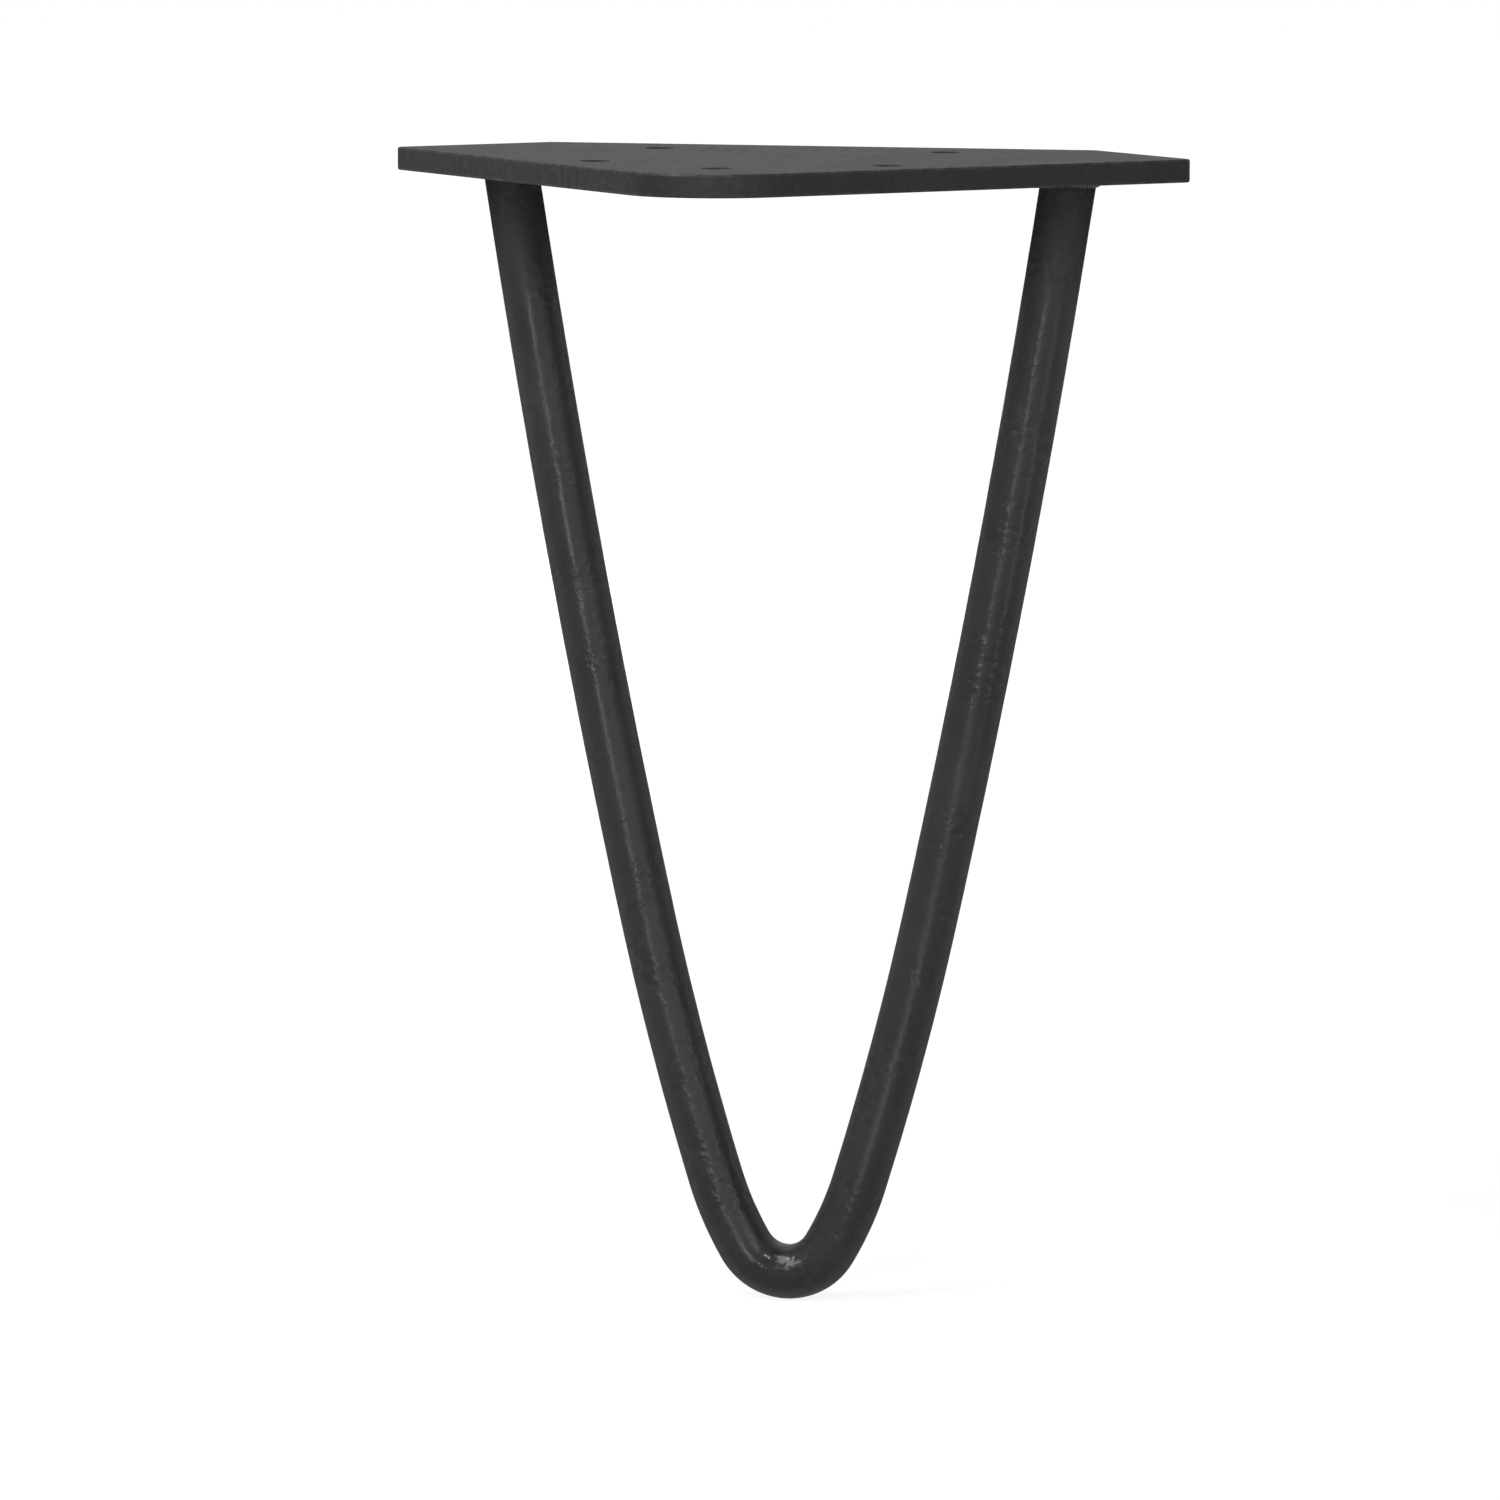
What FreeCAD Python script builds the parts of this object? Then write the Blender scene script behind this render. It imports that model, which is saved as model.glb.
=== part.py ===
import FreeCAD, Part
import math
import os
import Sketcher
from FreeCAD import Placement, Rotation, Vector

# Hairpin table leg: a flat steel plate that screws up under a table top, and one round steel bar,
# bent into a narrow hairpin, whose two ends are welded under the plate.
#
# The origin is on the plate's top face, midway between the two ends of the bar. +Z is up. The
# hairpin lies in the XZ plane with its nose straight below the origin, and the rounded corner of
# the plate, which sits in the corner of the table top, points to -Y.

# Driving dimensions in millimetres and degrees. Lengths along the bar are those of its centre line.
SIZES = (
    ("leg_height", 250.0, "plate's top face to the lowest point of the nose"),
    ("plate_thickness", 5.0, "thickness of the plate"),
    ("wing_length", 125.5, "meeting point of the two outer edges to the square end of a wing"),
    ("plate_depth", 116.0, "meeting point of the outer edges to the straight back edge, square to it"),
    ("front_corner_radius", 22.0, "rounding of the plate's front corner, seen from above"),
    ("wing_corner_radius", 1.5, "rounding of the plate's other corners, seen from above"),
    ("edge_break", 0.5, "rounding of the sharp edges round the plate's outline"),
    ("bar_diameter", 12.0, "diameter of the round bar"),
    ("bar_edge_distance", 18.0, "bar's centre at the plate to the outer edge of its wing"),
    ("bar_end_distance", 19.8, "bar's centre at the plate to the square end of its wing"),
    ("straight_end", 12.0, "straight length of bar under the plate"),
    ("nose_radius", 11.0, "bend radius of the nose"),
    ("nose_half_turn", 59.0, "angle that the nose bends to each side of its lowest point"),
    ("shoulder_radius", 70.0, "bend radius of the shoulder above the nose"),
    ("shoulder_turn", 13.5, "angle that the shoulder bends"),
    ("arm_radius", 700.0, "bend radius of the arm's lower half"),
    ("arm_turn", 5.0, "angle that the arm's lower half bends"),
    ("weld_leg", 1.5, "leg of the fillet weld round each end of the bar"),
    ("screw_hole_diameter", 6.0, "diameter of every screw hole"),
    ("hole_chamfer", 0.4, "chamfer round both rims of every screw hole"),
    ("hole_spacing", 64.0, "between the two screw holes of a row"),
    ("front_row_setback", 49.0, "front row of screw holes to the meeting point of the outer edges"),
    ("rear_row_setback", 17.0, "rear row of screw holes to the plate's back edge"),
    ("corner_hole_setback", 30.0, "single screw hole to the meeting point of the outer edges"),
)

# The weld's section is drawn down past its toe, so that its foot ends inside the bar that is cut out of it.
WELD_REACH_LEGS = 1.5
# The cut that levels the top of the bar clears the leaning bar by this many diameters round its centre.
LEVEL_CUT_DIAMETERS = 1.5

doc = FreeCAD.newDocument("hairpin_table_leg")
sheet = doc.addObject("Spreadsheet::Sheet", "Sizes")
for row, (alias, number, meaning) in enumerate(SIZES, start=1):
    sheet.set(f"A{row}", alias)
    sheet.set(f"B{row}", str(number))
    sheet.setAlias(f"B{row}", alias)
    sheet.set(f"C{row}", meaning)
doc.recompute()

# Expressions that more than one feature uses, in the sheet's words.
HALF_SPREAD = "((Sizes.wing_length - Sizes.bar_end_distance - Sizes.bar_edge_distance) / sqrt(2))"
CORNER_TO_BAR = "((Sizes.wing_length - Sizes.bar_end_distance + Sizes.bar_edge_distance) / sqrt(2))"
BAR_RADIUS = "Sizes.bar_diameter / 2"
APEX_HEIGHT = "Sizes.bar_diameter / 2 - Sizes.leg_height"


def size(alias):
    """The number in the sheet under this alias."""
    return float(sheet.get(alias))


def half_spread():
    """The plate's middle to the bar's centre at the plate's underside, worked out as HALF_SPREAD is."""
    return (size("wing_length") - size("bar_end_distance") - size("bar_edge_distance")) / math.sqrt(2)


def new_body(label):
    """An empty body whose label is the node's name."""
    body = doc.addObject("PartDesign::Body", label)
    body.Label = label
    return body


def new_sketch(body, name, role, base=None, angle=None):
    """A sketch on one of its body's origin planes. base and angle are expressions for its offset and turn."""
    sketch = body.newObject("Sketcher::SketchObject", name)
    plane = next(item for item in body.Origin.OriginFeatures if item.Role == role)
    sketch.AttachmentSupport = (plane, [""])
    sketch.MapMode = "FlatFace"
    # A turn about the plane's normal, so that the angle set below turns about that normal too.
    sketch.AttachmentOffset = Placement(Vector(0, 0, 0), Rotation(Vector(0, 0, 1), 1))
    for axis, expression in zip("xyz", base or ("0", "0", "0")):
        sketch.setExpression(f".AttachmentOffset.Base.{axis}", expression)
    sketch.setExpression(".AttachmentOffset.Rotation.Angle", angle or "0 deg")
    doc.recompute()
    return sketch


def constrain(sketch, kind, *elements):
    """A geometric constraint, such as Coincident or Tangent."""
    return sketch.addConstraint(Sketcher.Constraint(kind, *elements))


def dimension(sketch, kind, elements, number, expression):
    """A dimension that starts at number and follows an expression of the sheet's sizes."""
    index = sketch.addConstraint(Sketcher.Constraint(kind, *elements, number))
    sketch.setExpression(f"Constraints[{index}]", expression)


def polyline(sketch, corners):
    """A closed outline of straight lines through the corners, joined end to end."""
    count = len(corners)
    for start, end in zip(corners, corners[1:] + corners[:1]):
        sketch.addGeometry(Part.LineSegment(Vector(*start), Vector(*end)), False)
    for line in range(count):
        constrain(sketch, "Coincident", line, 2, (line + 1) % count, 1)


def feature(body, kind, name, profile=None):
    """A feature of the body. Its profile sketch, where it has one, is hidden once it is used."""
    item = body.newObject(f"PartDesign::{kind}", name)
    if profile is not None:
        item.Profile = profile
        profile.Visibility = False
    return item


def faces_at(shape, height):
    """Names of the level flat faces at this height."""
    return [
        f"Face{number}"
        for number, face in enumerate(shape.Faces, start=1)
        if abs(face.BoundBox.ZMin - height) < 1e-6 and abs(face.BoundBox.ZMax - height) < 1e-6
    ]


def hole_rims(shape):
    """Names of the shape's full circles."""
    return [f"Edge{number}" for number, edge in enumerate(shape.Edges, start=1) if edge.isClosed()]


def upright_edges(shape):
    """Names and places of the shape's vertical straight edges."""
    edges = []
    for number, edge in enumerate(shape.Edges, start=1):
        box = edge.BoundBox
        if box.XLength < 1e-6 and box.YLength < 1e-6:
            edges.append((f"Edge{number}", Vector(box.XMin, box.YMin, 0)))
    return edges


def require_cut(cut, base):
    """Stop if a cutting feature took nothing off its base."""
    doc.recompute()
    if cut.Shape.Volume > base.Shape.Volume - 1e-3:
        raise RuntimeError(f"{cut.Name} cuts nothing")


def make_plate():
    """The mounting plate: a square plate with its back corner cut off straight, and five screw holes."""
    body = new_body("mounting_plate")
    length, depth = size("wing_length"), size("plate_depth")
    width = math.sqrt(2) * depth - length

    # The outline is drawn from the meeting point of the two outer edges, with one wing along each axis.
    outline = new_sketch(body, "plate_outline", "XY_Plane", ("0", f"-{CORNER_TO_BAR}", "0"), "45 deg")
    polyline(outline, [(0, 0), (length, 0), (length, width), (width, length), (0, length)])
    constrain(outline, "Coincident", 0, 1, -1, 1)
    constrain(outline, "Horizontal", 0)
    constrain(outline, "Vertical", 1)
    constrain(outline, "Horizontal", 3)
    constrain(outline, "Vertical", 4)
    dimension(outline, "DistanceX", (0, 1, 0, 2), length, "Sizes.wing_length")
    dimension(outline, "DistanceY", (4, 2, 4, 1), length, "Sizes.wing_length")
    constrain(outline, "Equal", 1, 3)
    dimension(outline, "Distance", (0, 1, 2), depth, "Sizes.plate_depth")

    blank = feature(body, "Pad", "plate_blank", outline)
    blank.setExpression("Length", "Sizes.plate_thickness")
    blank.Reversed = True
    doc.recompute()

    corners = sorted(upright_edges(blank.Shape), key=lambda named: named[1].y)
    front = feature(body, "Fillet", "front_corner")
    front.Base = (blank, [corners[0][0]])
    front.setExpression("Radius", "Sizes.front_corner_radius")
    doc.recompute()

    places = [place for name, place in corners[1:]]
    others = [
        name for name, place in upright_edges(front.Shape)
        if any(place.distanceToPoint(corner) < 1e-3 for corner in places)
    ]
    rounded = feature(body, "Fillet", "wing_corners")
    rounded.Base = (front, others)
    rounded.setExpression("Radius", "Sizes.wing_corner_radius")
    doc.recompute()

    broken = feature(body, "Fillet", "broken_edges")
    broken.Base = (rounded, faces_at(rounded.Shape, 0) + faces_at(rounded.Shape, -size("plate_thickness")))
    broken.setExpression("Radius", "Sizes.edge_break")
    doc.recompute()

    # Two rows of two holes, and one hole in the front corner, measured from the same meeting point.
    spacing = size("hole_spacing")
    radius = size("screw_hole_diameter") / 2
    layout = new_sketch(body, "hole_layout", "XY_Plane", ("0", f"-{CORNER_TO_BAR}", "0"))
    rows = (
        (size("front_row_setback"), "Sizes.front_row_setback"),
        (depth - size("rear_row_setback"), "Sizes.plate_depth - Sizes.rear_row_setback"),
    )
    for distance, expression in rows:
        left, right = (
            layout.addGeometry(Part.Circle(Vector(x, distance, 0), Vector(0, 0, 1), radius), False)
            for x in (-spacing / 2, spacing / 2)
        )
        constrain(layout, "Symmetric", left, 3, right, 3, -2)
        dimension(layout, "DistanceX", (left, 3, right, 3), spacing, "Sizes.hole_spacing")
        dimension(layout, "DistanceY", (-1, 1, right, 3), distance, expression)
    setback = size("corner_hole_setback")
    single = layout.addGeometry(Part.Circle(Vector(0, setback, 0), Vector(0, 0, 1), radius), False)
    constrain(layout, "PointOnObject", single, 3, -2)
    dimension(layout, "DistanceY", (-1, 1, single, 3), setback, "Sizes.corner_hole_setback")
    for circle in range(single + 1):
        dimension(layout, "Radius", (circle,), radius, "Sizes.screw_hole_diameter / 2")
    doc.recompute()

    holes = feature(body, "Hole", "screw_holes", layout)
    holes.setExpression("Diameter", "Sizes.screw_hole_diameter")
    holes.DepthType = "ThroughAll"
    require_cut(holes, broken)

    eased = feature(body, "Chamfer", "eased_holes")
    eased.Base = (holes, hole_rims(holes.Shape))
    eased.setExpression("Size", "Sizes.hole_chamfer")
    require_cut(eased, holes)
    return body


def arc_chain():
    """The right half of the bar's centre line, from the nose's lowest point up, as tangent arcs.

    Each arc is (start, middle, end, radius, turn) with points in X and Z. The last one is worked out:
    it leads from the lower arm to the straight end, which is tangent to it and ends at the plate.
    A radius under zero bends the bar outwards.
    """
    def along(heading):
        return Vector(math.cos(heading), math.sin(heading), 0)

    def left_of(heading):
        return Vector(-math.sin(heading), math.cos(heading), 0)

    point = Vector(0, size("bar_diameter") / 2 - size("leg_height"), 0)
    heading = 0.0
    bends = [
        (size("nose_radius"), math.radians(size("nose_half_turn"))),
        (size("shoulder_radius"), math.radians(size("shoulder_turn"))),
        (size("arm_radius"), math.radians(size("arm_turn"))),
    ]
    arcs = []
    seat = Vector(half_spread(), -size("plate_thickness"), 0)
    straight = size("straight_end")
    for number in range(len(bends) + 1):
        if number < len(bends):
            radius, turn = bends[number]
        else:
            # The seat is a tangent length away from the circle: its distance from the centre squared
            # is the radius squared plus the straight end squared.
            reach = seat - point
            radius = (reach.dot(reach) - straight ** 2) / (2 * reach.dot(left_of(heading)))
            spoke = seat - (point + left_of(heading) * radius)
            final = math.atan2(spoke.y, spoke.x) - math.atan2(-radius, straight)
            turn = (final - heading + math.pi) % (2 * math.pi) - math.pi
        centre = point + left_of(heading) * radius
        middle = centre - left_of(heading + turn / 2) * radius
        end = centre - left_of(heading + turn) * radius
        arcs.append((point, middle, end, radius, turn))
        point = end
        heading += turn
    return arcs, seat, along(heading)


def make_bar():
    """The hairpin: one round bar swept along half of its centre line, levelled at the plate and mirrored."""
    body = new_body("hairpin_bar")
    arcs, seat, direction = arc_chain()
    line = new_sketch(body, "bar_line", "XZ_Plane")
    ends = []
    for start, middle, end, radius, turn in arcs:
        if turn > 0:
            line.addGeometry(Part.Arc(start, middle, end), False)
            ends.append((1, 2))
        else:
            line.addGeometry(Part.Arc(end, middle, start), False)
            ends.append((2, 1))
    straight = line.addGeometry(Part.LineSegment(arcs[-1][2], seat), False)
    ends.append((1, 2))
    overrun_length = size("bar_diameter") / 2
    overrun = line.addGeometry(Part.LineSegment(seat, seat + direction * overrun_length), False)

    for number in range(straight):
        constrain(line, "Tangent", number, ends[number][1], number + 1, ends[number + 1][0])
    constrain(line, "PointOnObject", 0, 1, -2)
    constrain(line, "PointOnObject", 0, 3, -2)
    apex_depth = size("leg_height") - size("bar_diameter") / 2
    dimension(line, "DistanceY", (0, 1, -1, 1), apex_depth, f"Sizes.leg_height - {BAR_RADIUS}")
    for number, bend in enumerate(("nose_radius", "shoulder_radius", "arm_radius")):
        dimension(line, "Radius", (number,), size(bend), f"Sizes.{bend}")
    for number, bend in enumerate(("nose_half_turn", "shoulder_turn", "arm_turn")):
        dimension(line, "Angle", (number,), math.radians(size(bend)), f"Sizes.{bend} * 1 deg")
    dimension(line, "DistanceX", (-1, 1, straight, 2), seat.x, HALF_SPREAD)
    dimension(line, "DistanceY", (straight, 2, -1, 1), -seat.y, "Sizes.plate_thickness")
    dimension(line, "Distance", (straight,), size("straight_end"), "Sizes.straight_end")
    constrain(line, "Coincident", straight, 2, overrun, 1)
    constrain(line, "Parallel", straight, overrun)
    dimension(line, "Distance", (overrun,), overrun_length, BAR_RADIUS)

    # The slope of the straight end is measured, not set: the welds lean with it.
    slope = line.addConstraint(Sketcher.Constraint("Angle", straight, math.atan2(direction.y, direction.x)))
    line.setDriving(slope, False)
    line.renameConstraint(slope, "slope")
    line.Visibility = False
    doc.recompute()

    section = new_sketch(body, "bar_section", "YZ_Plane", ("0", APEX_HEIGHT, "0"))
    section.addGeometry(Part.Circle(Vector(0, 0, 0), Vector(0, 0, 1), size("bar_diameter") / 2), False)
    constrain(section, "Coincident", 0, 3, -1, 1)
    dimension(section, "Radius", (0,), size("bar_diameter") / 2, BAR_RADIUS)
    doc.recompute()

    half = feature(body, "AdditivePipe", "half_hairpin", section)
    half.Spine = line
    doc.recompute()

    cutter = LEVEL_CUT_DIAMETERS * size("bar_diameter")
    level = new_sketch(body, "level_cut", "XY_Plane", (HALF_SPREAD, "0", "-Sizes.plate_thickness"))
    level.addGeometry(Part.Circle(Vector(0, 0, 0), Vector(0, 0, 1), cutter), False)
    constrain(level, "Coincident", 0, 3, -1, 1)
    dimension(level, "Radius", (0,), cutter, f"{LEVEL_CUT_DIAMETERS} * Sizes.bar_diameter")
    doc.recompute()
    levelled = feature(body, "Pocket", "levelled_end", level)
    levelled.Type = "ThroughAll"
    levelled.Reversed = True
    require_cut(levelled, half)

    whole = feature(body, "Mirrored", "whole_hairpin")
    whole.Originals = [half, levelled]
    plane = next(item for item in body.Origin.OriginFeatures if item.Role == "YZ_Plane")
    whole.MirrorPlane = (plane, [""])
    body.Tip = whole
    doc.recompute()
    return body


def make_weld(label, side):
    """The fillet weld round one end of the bar. side is 1 at +X and -1 at -X."""
    body = new_body(label)
    leg = size("weld_leg")
    reach = WELD_REACH_LEGS * leg
    toe = size("bar_diameter") / 2 + leg
    reach_words = f"{WELD_REACH_LEGS} * Sizes.weld_leg"
    toe_words = f"{BAR_RADIUS} + Sizes.weld_leg"
    place = (f"{side} * {HALF_SPREAD}", "-Sizes.plate_thickness", "0")

    # A full disc with a 45-degree rim, turned about the upright line through the bar's end.
    bead = new_sketch(body, f"{label}_bead", "XZ_Plane", place)
    polyline(bead, [(0, 0), (toe, 0), (toe - reach, -reach), (0, -reach)])
    constrain(bead, "Coincident", 0, 1, -1, 1)
    constrain(bead, "Horizontal", 0)
    constrain(bead, "Horizontal", 2)
    constrain(bead, "Vertical", 3)
    dimension(bead, "DistanceX", (0, 1, 0, 2), toe, toe_words)
    dimension(bead, "DistanceY", (3, 1, 3, 2), reach, reach_words)
    dimension(bead, "DistanceX", (2, 2, 2, 1), toe - reach, f"{toe_words} - {reach_words}")
    doc.recompute()
    disc = feature(body, "Revolution", f"{label}_disc", bead)
    disc.ReferenceAxis = (bead, ["V_Axis"])
    disc.Angle = 360
    doc.recompute()

    # The leaning bar is cut out of the disc, which leaves the ring of weld round it.
    radius, depth = size("bar_diameter") / 2, size("bar_diameter")
    lean = f"{side} * (bar_line.Constraints.slope - 90 deg)"
    bore = new_sketch(body, f"{label}_bore", "XZ_Plane", place, lean)
    polyline(bore, [(0, -depth), (radius, -depth), (radius, depth), (0, depth)])
    constrain(bore, "Horizontal", 0)
    constrain(bore, "Vertical", 1)
    constrain(bore, "Horizontal", 2)
    constrain(bore, "Vertical", 3)
    constrain(bore, "PointOnObject", 0, 1, -2)
    dimension(bore, "DistanceX", (0, 1, 0, 2), radius, BAR_RADIUS)
    dimension(bore, "DistanceY", (0, 1, -1, 1), depth, "Sizes.bar_diameter")
    dimension(bore, "DistanceY", (1, 1, 1, 2), 2 * depth, "2 * Sizes.bar_diameter")
    doc.recompute()
    ring = feature(body, "Groove", f"{label}_ring", bore)
    ring.ReferenceAxis = (bore, ["V_Axis"])
    ring.Angle = 360
    require_cut(ring, disc)
    return body


bodies = [make_plate(), make_bar(), make_weld("weld_left", -1), make_weld("weld_right", 1)]
doc.recompute()

for item in doc.Objects:
    if "Invalid" in item.State or "Error" in item.State:
        raise RuntimeError(f"{item.Name} failed: {item.State}")
for body in bodies:
    if body.Shape.isNull() or not body.Shape.isValid() or len(body.Shape.Solids) != 1:
        raise RuntimeError(f"{body.Label} is not one valid solid")

os.makedirs("parts", exist_ok=True)
for body in bodies:
    body.Shape.exportStep(os.path.join("parts", f"{body.Label}.step"))
    box = body.Shape.BoundBox
    print(f"{body.Label}: {body.Shape.Volume:.1f} mm3, X {box.XMin:.2f} to {box.XMax:.2f}, "
          f"Y {box.YMin:.2f} to {box.YMax:.2f}, Z {box.ZMin:.2f} to {box.ZMax:.2f}")
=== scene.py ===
import math

import bpy
import numpy as np
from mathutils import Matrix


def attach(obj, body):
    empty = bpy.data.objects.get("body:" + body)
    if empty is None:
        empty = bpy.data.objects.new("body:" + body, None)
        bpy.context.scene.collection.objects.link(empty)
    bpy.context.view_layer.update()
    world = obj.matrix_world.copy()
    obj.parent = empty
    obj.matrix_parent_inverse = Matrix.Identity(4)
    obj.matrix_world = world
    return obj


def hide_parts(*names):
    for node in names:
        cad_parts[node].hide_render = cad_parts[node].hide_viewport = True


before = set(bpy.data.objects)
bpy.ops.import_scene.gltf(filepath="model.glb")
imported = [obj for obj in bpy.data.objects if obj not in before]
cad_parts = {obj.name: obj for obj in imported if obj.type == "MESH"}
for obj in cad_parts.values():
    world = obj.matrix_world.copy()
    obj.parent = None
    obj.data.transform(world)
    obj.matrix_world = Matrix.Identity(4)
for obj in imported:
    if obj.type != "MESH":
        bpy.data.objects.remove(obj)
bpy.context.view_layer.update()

# Hairpin table leg: a round steel bar bent into a hairpin and welded under a flat corner plate,
# all of it in black powder coat. Lengths are in metres and angles in radians. The plate's top
# face is at Z 0, the hairpin lies in the XZ plane and its nose stands on the floor.

LEG_HEIGHT = 0.250
PLATE_THICKNESS = 0.005
BAR_RADIUS = 0.006
WING_LENGTH = 0.1255
BAR_EDGE_DISTANCE = 0.018
BAR_END_DISTANCE = 0.0198
HALF_SPREAD = (WING_LENGTH - BAR_END_DISTANCE - BAR_EDGE_DISTANCE) / math.sqrt(2)
CORNER_TO_BAR = (WING_LENGTH - BAR_END_DISTANCE + BAR_EDGE_DISTANCE) / math.sqrt(2)
PLATE_DEPTH = 0.116
FRONT_CORNER_RADIUS = 0.022
STRAIGHT_END = 0.012
BENDS = (
    (0.011, math.radians(59.0)),
    (0.070, math.radians(13.5)),
    (0.700, math.radians(5.0)),
)
WELD_LEG = 0.0015
WELD_CROWN = 0.00020
WELD_RIPPLE = 0.00024
WELD_CRESCENTS = 34
CRATER_DEPTH = 0.00022
CRATER_ANGLE = math.radians(100)
HIDDEN_DEPTH = 0.0006
COAT_HOLLOW = 0.00002
COAT_WAVES = 0.00005

# The powder coat's features in a metre: cloudy tones, pebbled patches, worn specks, fine grain.
CLOUDS, PATCHES, SPECKS, GRAINS = 55.0, 75.0, 420.0, 2600.0
GRAIN_DEPTH = 0.000006
RUBBED_TONE = 0.014
RUBBED_ROUGHNESS = -0.06
SPECULAR_LEVEL = 0.2

# White seen by the camera and in reflections has strength 1. This lights the leg evenly.
EVEN_LIGHT = 0.2
# The floor's own grey, the share of its shadows that shows, and how bright the lamps make a white
# floor near the leg. The shadows fade out between these two distances from the leg.
FLOOR_GREY = 0.5
FLOOR_SHADOW = 0.16
FLOOR_LIGHT = 0.75
SHADOWS_FADE = (0.35, 1.2)

# Where the camera stands, how far it looks down, and how far it is turned to the left.
CAMERA_LENS = 216.0
CAMERA_PLACE = (0.4976, -1.8712, 0.1118)
CAMERA_DROP = 0.1239
CAMERA_TURN = 0.2641


# ---- Shapes

def bend_table():
    """The right half of the bar's centre line as stretches of steady curvature, from the nose up.

    Each row is (length so far, X, Z, heading, curvature) where the stretch starts. The named bends
    come first. The closing bend is tangent to them and to the straight end: the seat at the plate
    is one straight end away from its circle, so its radius is the reach squared less the straight
    end squared, over twice the reach's share to the left of the heading.
    """
    point = np.array([0.0, BAR_RADIUS - LEG_HEIGHT])
    seat = np.array([HALF_SPREAD, -PLATE_THICKNESS])
    heading, length, rows = 0.0, 0.0, []
    for bend in BENDS + (None,):
        left = np.array([-math.sin(heading), math.cos(heading)])
        if bend:
            radius, turn = bend
        else:
            reach = seat - point
            radius = (reach @ reach - STRAIGHT_END ** 2) / (2 * reach @ left)
            spoke = reach - radius * left
            turn = math.atan2(spoke[1], spoke[0]) - math.atan2(-radius, STRAIGHT_END) - heading
            turn = (turn + math.pi) % (2 * math.pi) - math.pi
        rows.append((length, *point, heading, 1 / radius))
        point = point + radius * left
        heading += turn
        length += radius * turn
        point = point - radius * np.array([-math.sin(heading), math.cos(heading)])
    rows.append((length, *point, heading, 0.0))
    return np.array(rows), length + STRAIGHT_END


STRETCHES, HALF_LENGTH = bend_table()
SLOPE = STRETCHES[-1, 3]


def bar_line(distance):
    """Points, tangents and inward normals of the centre line at signed distances from the nose.

    On a stretch of steady curvature the heading grows evenly with the distance, and the chord to
    the point leans half as far: its length is the distance times sin(half turn) / (half turn). The
    left half is the right half's mirror image.
    """
    side = np.where(distance < 0, -1.0, 1.0)
    along = np.abs(distance)
    row = np.clip(np.searchsorted(STRETCHES[:, 0], along, side="right") - 1, 0, len(STRETCHES) - 1)
    start, x, z, heading, bend = STRETCHES[row].T
    half_turn = bend * (along - start) / 2
    chord = (along - start) * np.sinc(half_turn / np.pi)
    x = x + chord * np.cos(heading + half_turn)
    z = z + chord * np.sin(heading + half_turn)
    heading = (heading + 2 * half_turn) * side
    flat = np.zeros_like(x)
    points = np.stack([side * x, flat, z], -1)
    tangents = np.stack([np.cos(heading), flat, np.sin(heading)], -1)
    inward = np.stack([-np.sin(heading), flat, np.cos(heading)], -1)
    return points, tangents, inward


def waves(seed, count, around, along, longest, shortest):
    """A gentle unevenness between -1 and 1: the mean of sine waves that run round and along a skin.

    Each wave is the sine of a whole number times the angle plus a wave number times the distance,
    so it closes on itself round the bar.
    """
    draw = np.random.default_rng(seed)
    total = np.zeros(np.broadcast(around, along).shape)
    for _ in range(count):
        turns = draw.integers(0, 7)
        pitch = draw.uniform(shortest, longest)
        total += np.sin(turns * around + 2 * np.pi * along / pitch * draw.choice((-1, 1))
                        + draw.uniform(0, 2 * np.pi))
    return total / count


def skin(name, points, close_along=False, caps=()):
    """A mesh over a grid of points, rows along the piece and columns round it.

    The last column is joined to the first, and with close_along the last row to the first. caps
    are (row, centre point, facing) where the open end of the grid is closed by a fan of triangles.
    """
    rows, columns = points.shape[:2]
    i = np.arange(rows if close_along else rows - 1)[:, None]
    j = np.arange(columns)[None, :]
    i2, j2 = (i + 1) % rows, (j + 1) % columns
    quads = np.stack([i * columns + j, i * columns + j2, i2 * columns + j2, i2 * columns + j], -1)
    faces = quads.reshape(-1, 4).tolist()
    vertices = points.reshape(-1, 3)
    for row, centre, forward in caps:
        first = row % rows * columns
        ring = first + j[0]
        following = first + j2[0]
        hub = np.full(columns, len(vertices))
        fan = (ring, following, hub) if forward else (following, ring, hub)
        faces += np.stack(fan, -1).tolist()
        vertices = np.vstack([vertices, centre])
    mesh = bpy.data.meshes.new(name)
    mesh.from_pydata(vertices, [], faces)
    mesh.shade_smooth()
    piece = bpy.data.objects.new(name, mesh)
    bpy.context.scene.collection.objects.link(piece)
    return piece


def write_point_vectors(piece, name, vectors):
    """Stores one vector per vertex under a name that the materials read."""
    layer = piece.data.attributes.new(name, "FLOAT_VECTOR", "POINT")
    layer.data.foreach_set("vector", np.ravel(vectors))


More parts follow.
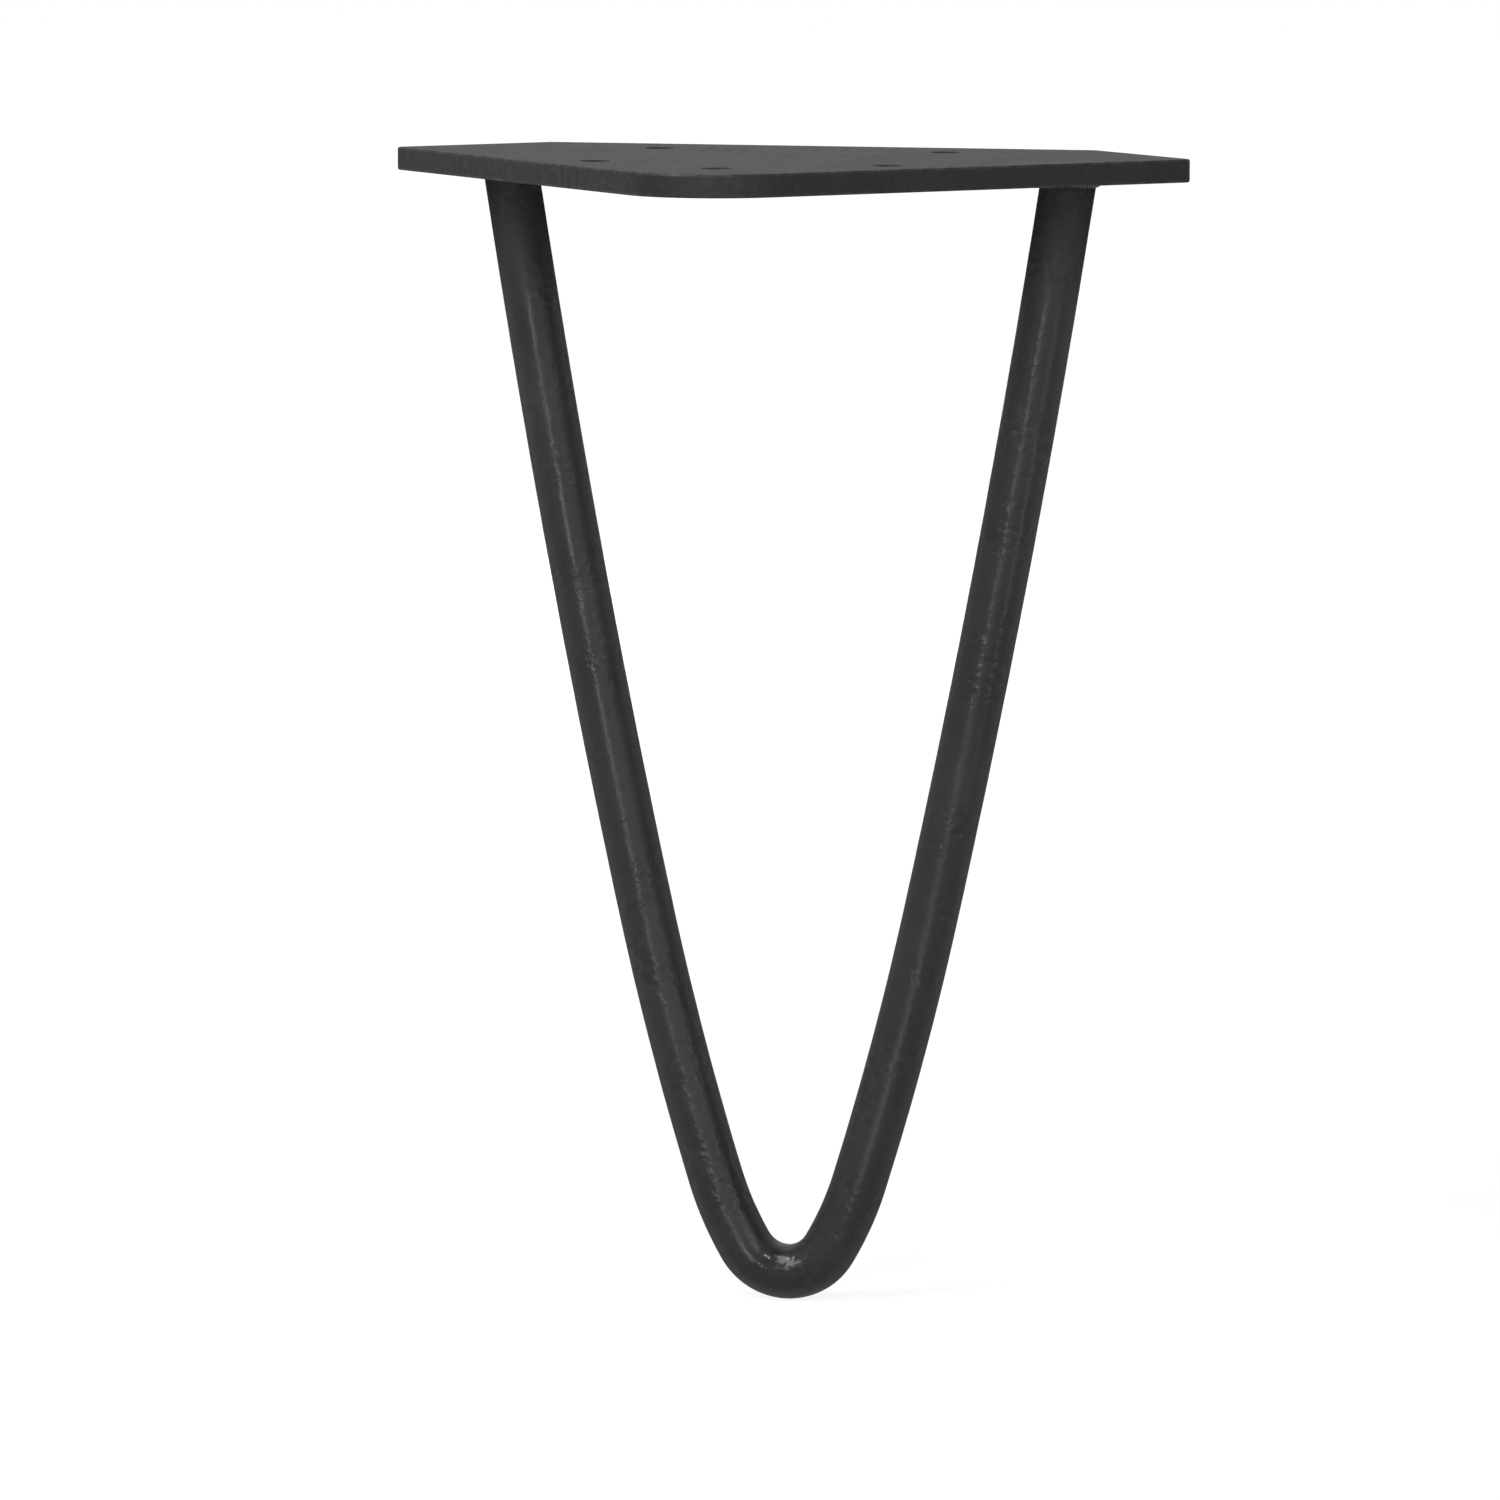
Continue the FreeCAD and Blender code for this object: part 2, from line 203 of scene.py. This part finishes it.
def make_bar():
    """The hairpin bar: a circle of the bar's radius carried along the centre line.

    The radius dips by a few hundredths of a millimetre where the coat lies uneven. Along each
    straight end the points slide along the bar so that the last ring lies level under the plate.
    """
    rows, columns = 1081, 90
    distance = np.linspace(-HALF_LENGTH, HALF_LENGTH, rows)[:, None]
    around = np.linspace(0, 2 * np.pi, columns, endpoint=False)[None, :]
    centre, tangent, inward = (part[:, None, :] for part in bar_line(distance[:, 0]))
    sideways = np.array([0.0, -1.0, 0.0])
    unevenness = waves(seed=3, count=28, around=around, along=distance,
                       longest=0.030, shortest=0.006)
    radius = (BAR_RADIUS - COAT_HOLLOW + COAT_WAVES * unevenness)[..., None]
    level, across = np.cos(around)[..., None], np.sin(around)[..., None]
    points = centre + radius * (level * inward + across * sideways)
    # Share of the straight end that lies below the point, and the slide that levels the last ring.
    share = (np.abs(distance) - (HALF_LENGTH - STRAIGHT_END)) / STRAIGHT_END
    share = np.clip(share, 0, 1)[..., None]
    rise = -radius * level * inward[..., 2:]
    slide_left = rise / tangent[..., 2:].clip(None, -0.9)
    slide_right = rise / tangent[..., 2:].clip(0.9, None)
    points = points + share * tangent * np.where(distance[..., None] < 0, slide_left, slide_right)
    seats = bar_line(np.array([-HALF_LENGTH, HALF_LENGTH]))[0]
    bar = skin("hairpin_bar_skin", points, caps=((0, seats[0], False), (-1, seats[1], True)))
    circle = BAR_RADIUS * np.cos(around), BAR_RADIUS * np.sin(around)
    unbent = np.broadcast_arrays(*circle, distance)
    ends = [[0, 0, -HALF_LENGTH], [0, 0, HALF_LENGTH]]
    unbent = np.vstack([np.stack(unbent, -1).reshape(-1, 3), ends])
    write_point_vectors(bar, "unbent", unbent)
    return bar


def make_weld(name, side, seed):
    """The weld bead round one end of the bar, as a closed section carried round the leaning bar.

    Across the face the section runs from its toe on the plate to its toe on the bar on a straight
    slope, plus a low crown that is a half sine wave. Round the bar, overlapping crescents ripple
    the face: a ridge of rounded steps whose place is bent back towards both toes. The rest of the
    section closes the bead out of sight, in the bar and in the plate.
    """
    columns, across = 420, 22
    draw = np.random.default_rng(seed)
    angle = np.linspace(0, 2 * np.pi, columns, endpoint=False)[:, None]
    share = np.linspace(0, 1, across)[None, :]
    drift = sum(draw.uniform(0.4, 1) * np.sin(k * angle + draw.uniform(0, 2 * np.pi))
                for k in range(1, 6)) / 5
    # Crescents, about one each 1.3 mm round the bar, unevenly spaced.
    phase = WELD_CRESCENTS * angle / (2 * np.pi) + 0.55 * drift - 0.75 * (2 * share - 1) ** 2
    step = phase - np.floor(phase)
    ridge = (np.sin(np.pi * step ** 0.65)) ** 0.8
    fade = np.sin(np.pi * share) ** 0.6
    crown = WELD_CROWN * np.sin(np.pi * share)
    lift = crown + fade * WELD_RIPPLE * (ridge - 0.55)
    # The last crescent leaves a small crater on the side away from the front.
    from_stop = (angle - CRATER_ANGLE + np.pi) % (2 * np.pi) - np.pi
    crater = np.exp(-(from_stop / 0.16) ** 2 - ((share - 0.5) / 0.30) ** 2)
    lift = lift - CRATER_DEPTH * crater
    leg = WELD_LEG * (0.93 + 0.05 * drift) + 0.00007 * (ridge.mean(1, keepdims=True) - 0.6)
    outwards, up = np.cos(np.pi / 4), np.sin(np.pi / 4)
    out = leg * (1 - share) + lift * outwards
    down = leg * share + lift * up
    hidden = np.full_like(angle, -HIDDEN_DEPTH)
    out = np.concatenate([out, hidden, hidden, leg], 1)
    down = np.concatenate([down, down[:, -1:], hidden, hidden], 1)
    # The bar leans: going down from the plate, its axis moves towards the middle.
    stretch = 1 / np.sqrt(1 - (math.cos(SLOPE) * np.cos(angle)) ** 2)
    radius = BAR_RADIUS * stretch + out
    x = side * HALF_SPREAD + radius * np.cos(angle) - side * down / math.tan(SLOPE)
    y = radius * np.sin(angle)
    z = -PLATE_THICKNESS - down
    return skin(name, np.stack([x, y, z], -1), close_along=True)


# ---- Finishes

class Nodes:
    """The node tree of a material or a world, emptied, and short ways to add to it."""

    def __init__(self, owner, output_kind):
        owner.use_nodes = True
        self.tree = owner.node_tree
        self.tree.nodes.clear()
        self.output = self.tree.nodes.new(output_kind)

    def node(self, kind, **settings):
        node = self.tree.nodes.new(kind)
        for name, value in settings.items():
            setattr(node, name, value)
        return node

    def link(self, source, target):
        self.tree.links.new(source, target)

    def fill(self, socket, value):
        if isinstance(value, bpy.types.NodeSocket):
            self.link(value, socket)
        else:
            socket.default_value = value

    def maths(self, operation, *values):
        node = self.node("ShaderNodeMath", operation=operation)
        for socket, value in zip(node.inputs, values):
            self.fill(socket, value)
        return node.outputs[0]

    def spread(self, value, low, high, to_low=0.0, to_high=1.0):
        """The value mapped evenly from low..high to to_low..to_high, and held at both ends."""
        node = self.node("ShaderNodeMapRange")
        for socket, item in zip(node.inputs, (value, low, high, to_low, to_high)):
            self.fill(socket, item)
        return node.outputs[0]

    def split(self, vector):
        node = self.node("ShaderNodeSeparateXYZ")
        self.link(vector, node.inputs[0])
        return node.outputs

    def noise(self, coordinates, scale, detail, roughness, distortion=0.0):
        node = self.node("ShaderNodeTexNoise")
        self.link(coordinates, node.inputs["Vector"])
        node.inputs["Scale"].default_value = scale
        node.inputs["Detail"].default_value = detail
        node.inputs["Roughness"].default_value = roughness
        node.inputs["Distortion"].default_value = distortion
        return node.outputs[0]

    def mixed(self, factor, first, second):
        node = self.node("ShaderNodeMix", data_type="RGBA")
        self.fill(node.inputs[0], factor)
        self.fill(node.inputs[6], first)
        self.fill(node.inputs[7], second)
        return node.outputs[2]

    def bump(self, height, distance, normal=None):
        node = self.node("ShaderNodeBump")
        self.link(height, node.inputs["Height"])
        node.inputs["Distance"].default_value = distance
        node.inputs["Strength"].default_value = 1.0
        if normal is not None:
            self.link(normal, node.inputs["Normal"])
        return node.outputs[0]


def grey(value):
    return (value, value, value, 1.0)


def powder_coat(name, fleck_scale, fleck_depth, tone, roughness, glancing, worn, uneven=None):
    """Black powder coat on steel: satin, pebbled in patches, lighter and smoother where rubbed.

    fleck_scale is how many pebbles go into a metre, fleck_depth how deep they are, and tone the
    grey it averages. glancing is from where to where it turns rougher as it is seen along its
    surface, and by how much. worn gives a value that is 1 where it is rubbed, and uneven two
    values: a roughness to add, and how deep the pebbles are as a share of their full depth.
    """
    material = bpy.data.materials.new(name)
    coat = Nodes(material, "ShaderNodeOutputMaterial")
    coordinates = on_object(coat)
    cloud = coat.noise(coordinates, CLOUDS, 3.0, 0.55)
    patches = coat.spread(coat.noise(coordinates, PATCHES, 2.0, 0.5), 0.42, 0.58, 0.2, 1.0)
    pebbles = coat.noise(coordinates, fleck_scale, 0.8, 0.5, 0.4)
    flecks = coat.maths("MULTIPLY", coat.maths("SUBTRACT", pebbles, 0.5), patches)
    grain = coat.noise(coordinates, GRAINS, 1.0, 0.5)
    tone_now = coat.maths("MULTIPLY", tone, coat.spread(cloud, 0.3, 0.7, 0.82, 1.18))
    tone_now = coat.maths("MULTIPLY", tone_now, coat.spread(flecks, -0.2, 0.2, 0.75, 1.25))
    rough = coat.maths("ADD", coat.spread(cloud, 0.3, 0.7, roughness - 0.03, roughness + 0.03),
                       coat.spread(flecks, -0.2, 0.2, 0.04, -0.04))
    rub = worn(coat, coordinates)
    tone_now = coat.maths("MULTIPLY_ADD", rub, RUBBED_TONE, tone_now)
    rough = coat.maths("MULTIPLY_ADD", rub, RUBBED_ROUGHNESS, rough)
    if uneven is not None:
        added, depth_share = uneven(coat)
        rough = coat.maths("ADD", rough, added)
        flecks = coat.maths("MULTIPLY", flecks, depth_share)
    # Seen along the surface, the pebbles hide each other's mirror, and the sheen dies away.
    glance = coat.node("ShaderNodeLayerWeight").outputs["Facing"]
    flat_from, flat_to, added_there = glancing
    rough = coat.maths("ADD", rough, coat.spread(glance, flat_from, flat_to, 0.0, added_there))
    colour = coat.node("ShaderNodeCombineColor")
    coat.link(tone_now, colour.inputs[0])
    coat.link(coat.maths("MULTIPLY", tone_now, 1.005), colour.inputs[1])
    coat.link(coat.maths("MULTIPLY", tone_now, 1.01), colour.inputs[2])
    normal = coat.bump(flecks, fleck_depth)
    normal = coat.bump(grain, GRAIN_DEPTH, normal=normal)
    shader = coat.node("ShaderNodeBsdfPrincipled")
    coat.link(colour.outputs[0], shader.inputs["Base Color"])
    coat.link(rough, shader.inputs["Roughness"])
    coat.link(normal, shader.inputs["Normal"])
    shader.inputs["Specular IOR Level"].default_value = SPECULAR_LEVEL
    coat.link(shader.outputs[0], coat.output.inputs["Surface"])
    return material


def broken_up(coat, coordinates, share):
    """The share, eaten into by a fine noise so that a rubbed place has a ragged edge."""
    speck = coat.spread(coat.noise(coordinates, SPECKS, 3.0, 0.6), 0.40, 0.60)
    return coat.maths("MULTIPLY", share, speck)


def worn_rims(coat, coordinates):
    """1 along the plate's outline, where its faces meet its edges, fading within a millimetre.

    With the two outer edges as axes, the distance to the outline is the corner's radius less the
    length of what is missing to that radius on each axis. The square ends and the back edge are
    plain distances. A place is on a rim where both this and the distance to a face are small.
    """
    x, y, z = coat.split(coordinates)
    across, depth = coat.maths("ABSOLUTE", x), coat.maths("ADD", y, CORNER_TO_BAR)
    half_root = math.sqrt(0.5)
    far = coat.maths("MULTIPLY", coat.maths("ADD", depth, across), half_root)
    near = coat.maths("MULTIPLY", coat.maths("SUBTRACT", depth, across), half_root)
    short = [coat.maths("MAXIMUM", coat.maths("SUBTRACT", FRONT_CORNER_RADIUS, axis), 0.0)
             for axis in (far, near)]
    squares = [coat.maths("MULTIPLY", part, part) for part in short]
    missing = coat.maths("SQRT", coat.maths("ADD", *squares))
    front = coat.maths("SUBTRACT", FRONT_CORNER_RADIUS, missing)
    end = coat.maths("SUBTRACT", WING_LENGTH, far)
    back = coat.maths("SUBTRACT", PLATE_DEPTH, depth)
    outline = coat.maths("MINIMUM", coat.maths("MINIMUM", front, end), back)
    below = coat.maths("MULTIPLY", z, -1.0)
    face = coat.maths("MINIMUM", below, coat.maths("SUBTRACT", PLATE_THICKNESS, below))
    rim = coat.spread(coat.maths("MAXIMUM", outline, face), 0.0002, 0.0008, 1.0, 0.0)
    return broken_up(coat, coordinates, rim)


def worn_nose(coat, coordinates):
    """1 under the nose, where the bar stands on the floor."""
    inward, _, along = coat.split(on_unbent_bar(coat))
    along = coat.spread(coat.maths("ABSOLUTE", along), 0.001, 0.005, 1.0, 0.0)
    under = coat.spread(inward, -BAR_RADIUS, -0.8 * BAR_RADIUS, 1.0, 0.0)
    return broken_up(coat, coordinates, coat.maths("MULTIPLY", along, under))


def sheen_along_bar(coat):
    """Roughness to add, and the share of the pebbles' depth, along the bar.

    The coat is dull in the corner by the plate, where little powder lands, and glossy and flat
    round the nose.
    """
    along = coat.maths("ABSOLUTE", coat.split(on_unbent_bar(coat))[2])
    dull = coat.spread(along, HALF_LENGTH - 0.030, HALF_LENGTH - 0.008, 0.0, 0.36)
    gloss = coat.spread(along, 0.004, 0.014, -0.12, 0.0)
    return coat.maths("ADD", dull, gloss), coat.spread(along, 0.006, 0.020, 0.45, 1.0)


def worn_crests(coat, coordinates):
    """A light rub in specks all over, as on the ripples of a weld bead."""
    return coat.spread(coat.noise(coordinates, 900.0, 2.0, 0.5), 0.58, 0.70)


def on_object(coat):
    return coat.node("ShaderNodeTexCoord").outputs["Object"]


def on_unbent_bar(coat):
    return coat.node("ShaderNodeAttribute", attribute_name="unbent").outputs["Vector"]


def finish_piece(piece, material):
    piece.data.materials.clear()
    piece.data.materials.append(material)


# ---- Pieces

bar = make_bar()
finish_piece(bar, powder_coat("bar_powder_coat", fleck_scale=560.0, fleck_depth=0.00026,
                              tone=0.0125, roughness=0.30, glancing=(0.15, 0.65, 0.40),
                              worn=worn_nose, uneven=sheen_along_bar))
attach(bar, "root")
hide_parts("hairpin_bar")

weld_finish = powder_coat("weld_powder_coat", fleck_scale=900.0, fleck_depth=0.00006,
                          tone=0.012, roughness=0.34, glancing=(0.30, 0.80, 0.2),
                          worn=worn_crests)
for name, node, side, seed in (("weld_bead_left", "weld_left", -1, 11),
                               ("weld_bead_right", "weld_right", 1, 12)):
    bead = make_weld(name, side, seed)
    finish_piece(bead, weld_finish)
    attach(bead, "root")
    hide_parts(node)

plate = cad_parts["mounting_plate"]
finish_piece(plate, powder_coat("plate_powder_coat", fleck_scale=480.0, fleck_depth=0.00018,
                                tone=0.0065, roughness=0.46, glancing=(0.40, 0.90, 0.35),
                                worn=worn_rims))


# ---- Floor, light and camera

def seen_directly(nodes):
    """1 for what the camera sees, also in a reflection or through glass, and 0 for other light."""
    path = nodes.node("ShaderNodeLightPath")
    seen = nodes.maths("MAXIMUM", path.outputs["Is Camera Ray"], path.outputs["Is Glossy Ray"])
    return nodes.maths("MAXIMUM", seen, path.outputs["Is Transmission Ray"])


def whitened(name, own, shaded_share):
    """A plain pale paint that shows white to the camera and in reflections.

    Near the leg it keeps a share of its shadows. Far off, where less light falls, it is all white.
    """
    paint = bpy.data.materials.new(name)
    sheet = Nodes(paint, "ShaderNodeOutputMaterial")
    seen = seen_directly(sheet)
    plain = sheet.node("ShaderNodeBsdfDiffuse")
    sheet.link(sheet.mixed(seen, grey(own), grey(shaded_share)), plain.inputs["Color"])
    glow = sheet.node("ShaderNodeEmission")
    glow.inputs["Color"].default_value = grey(1.0)
    reach = sheet.node("ShaderNodeVectorMath", operation="LENGTH")
    sheet.link(sheet.node("ShaderNodeTexCoord").outputs["Object"], reach.inputs[0])
    level = sheet.spread(reach.outputs["Value"], *SHADOWS_FADE,
                         1.0 - FLOOR_LIGHT * shaded_share, 1.0)
    sheet.link(sheet.maths("MULTIPLY", seen, level), glow.inputs["Strength"])
    both = sheet.node("ShaderNodeAddShader")
    sheet.link(plain.outputs[0], both.inputs[0])
    sheet.link(glow.outputs[0], both.inputs[1])
    sheet.link(both.outputs[0], sheet.output.inputs["Surface"])
    return paint


def make_floor():
    """A large level sheet under the nose."""
    half = 6.0
    corners = np.array([[-half, -half], [half, -half], [half, half], [-half, half]])
    mesh = bpy.data.meshes.new("pale_floor")
    mesh.from_pydata(np.column_stack([corners, np.full(4, -LEG_HEIGHT)]), [], [(0, 1, 2, 3)])
    floor = bpy.data.objects.new("pale_floor", mesh)
    bpy.context.scene.collection.objects.link(floor)
    finish_piece(floor, whitened("pale_floor_paint", FLOOR_GREY, FLOOR_SHADOW))


def lamp(name, azimuth, elevation, distance, width, height, watts, aim=(0.0, 0.0, -0.12)):
    """A soft rectangular lamp round the leg: azimuth 0 stands in front, at -Y, and 90 at +X."""
    turn, rise = math.radians(azimuth), math.radians(elevation)
    level = math.cos(rise)
    back = np.array([math.sin(turn) * level, -math.cos(turn) * level, math.sin(rise)])
    light = bpy.data.lights.new(name, "AREA")
    light.shape = "RECTANGLE"
    light.size, light.size_y, light.energy = width, height, watts
    holder = bpy.data.objects.new(name, light)
    holder.location = np.array(aim) + distance * back
    holder.rotation_euler = (math.pi / 2 - rise, 0.0, turn)
    holder.visible_camera = False
    bpy.context.scene.collection.objects.link(holder)


def light_the_room():
    """A white room for the camera and in reflections, and plain even light on the leg."""
    world = bpy.data.worlds.new("white_room")
    bpy.context.scene.world = world
    room = Nodes(world, "ShaderNodeOutputWorld")
    mix = room.node("ShaderNodeMixShader")
    room.link(seen_directly(room), mix.inputs[0])
    for socket, strength in zip(mix.inputs[1:], (EVEN_LIGHT, 1.0)):
        ground = room.node("ShaderNodeBackground")
        ground.inputs["Color"].default_value = grey(1.0)
        ground.inputs["Strength"].default_value = strength
        room.link(ground.outputs[0], socket)
    room.link(mix.outputs[0], room.output.inputs["Surface"])
    lamp("key_softbox", -33.0, 43.0, 1.3, 0.42, 1.2, 15.0)
    lamp("low_key_softbox", -22.0, 15.0, 1.3, 0.3, 0.25, 1.4)
    lamp("high_softbox", 45.0, 25.0, 1.6, 1.0, 0.6, 6.7)
    # These five stay below the plate, so that they don't glare on its top face.
    lamp("front_strip", 2.0, 0.0, 1.6, 0.20, 0.24, 3.3)
    lamp("side_softbox", 34.0, 0.0, 1.6, 1.3, 0.24, 2.1)
    lamp("back_strip", 203.0, 0.0, 1.6, 0.20, 0.24, 3.3)
    lamp("floor_strip", 16.2, -90.0, 0.01, 0.035, 0.55, 0.27, (0.10, -0.355, -0.2385))
    lamp("low_side_strip", 58.0, -13.0, 0.45, 0.06, 0.10, 0.09, (0.04, 0.0, -0.09))
    # Two small spots make the glints on the nose.
    lamp("high_spot_left", -47.0, 46.0, 1.3, 0.05, 0.05, 2.4)
    lamp("high_spot_right", 17.0, 47.0, 1.3, 0.05, 0.05, 2.8)
    # Soft light from behind, for the plate's top face and the backs of the arms.
    lamp("back_softbox", 195.0, 30.0, 1.6, 0.8, 0.6, 4.0)


def make_camera():
    camera = bpy.data.objects.new("camera", bpy.data.cameras.new("camera"))
    camera.data.lens = CAMERA_LENS
    camera.location = CAMERA_PLACE
    camera.rotation_euler = (math.pi / 2 - CAMERA_DROP, 0.0, CAMERA_TURN)
    bpy.context.scene.collection.objects.link(camera)
    bpy.context.scene.camera = camera


make_floor()
light_the_room()
make_camera()
bpy.context.scene.view_settings.view_transform = "Standard"
